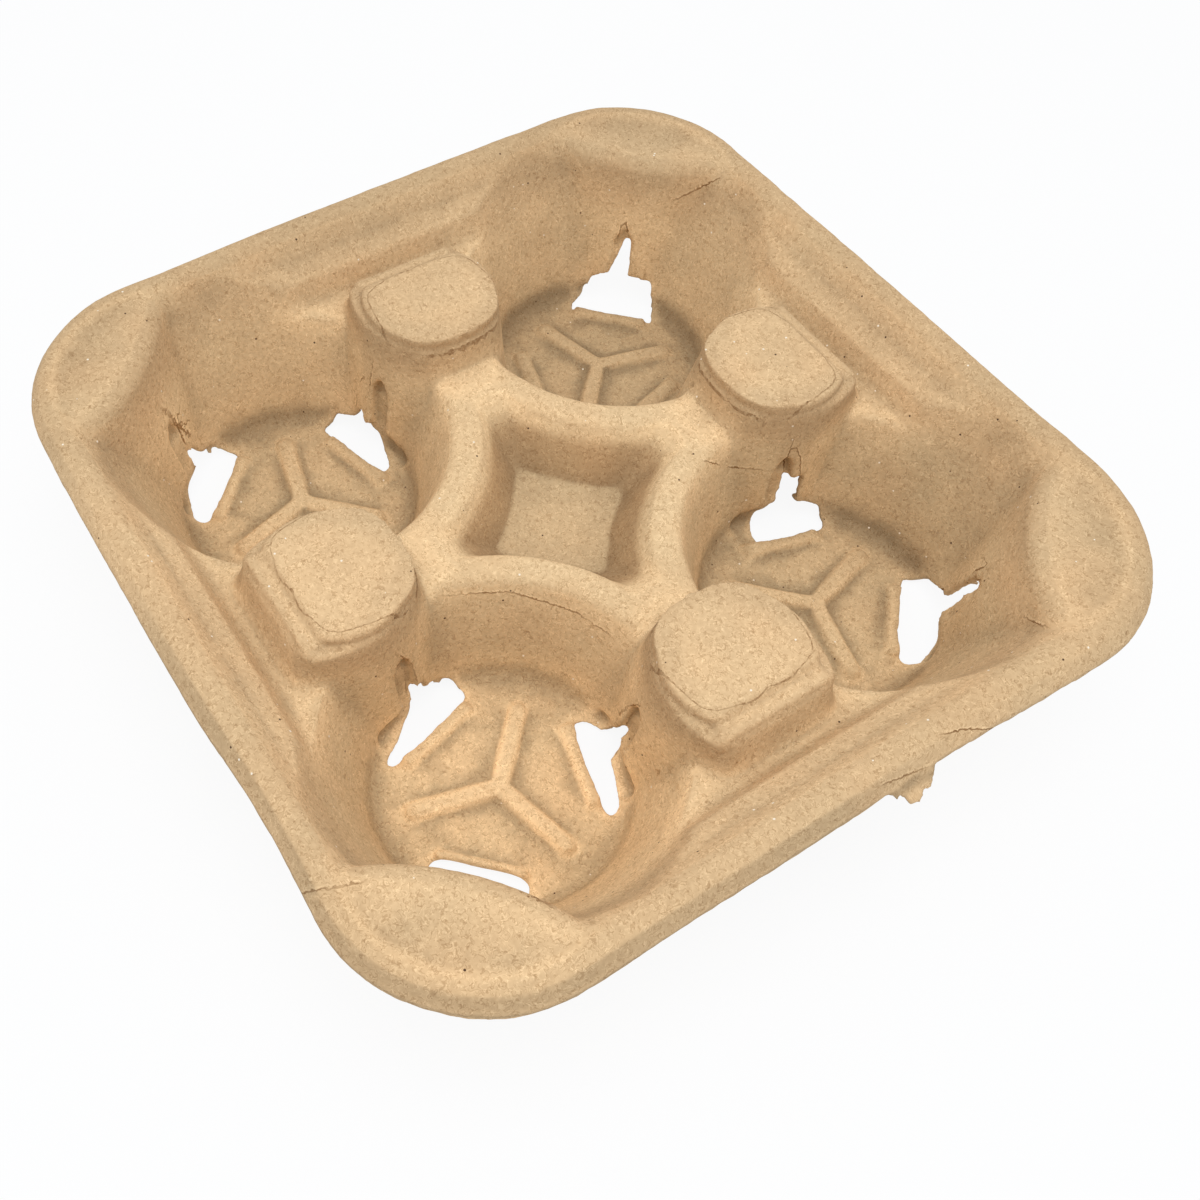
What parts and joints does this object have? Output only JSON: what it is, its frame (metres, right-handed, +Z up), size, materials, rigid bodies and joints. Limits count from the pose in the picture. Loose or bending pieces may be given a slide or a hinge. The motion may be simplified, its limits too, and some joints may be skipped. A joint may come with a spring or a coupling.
{
  "type": "moulded pulp cup carrier",
  "caption": "Square pressed-pulp tray with rounded corners and flaring wells that hold drinking cups, padded posts between them and a recess in the middle.",
  "frame": {"origin": "under the middle of the tray, on the plane of the cup floors' undersides", "axes": "+Z up out of the wells, +X and +Y along the tray's straight sides"},
  "size_m": [0.215, 0.215, 0.0473],
  "materials": {
    "pulp": "matte, fibrous, unbleached"
  },
  "bodies": {
    "root": {"cup_carrier": "pulp"}
  },
  "joints": []
}
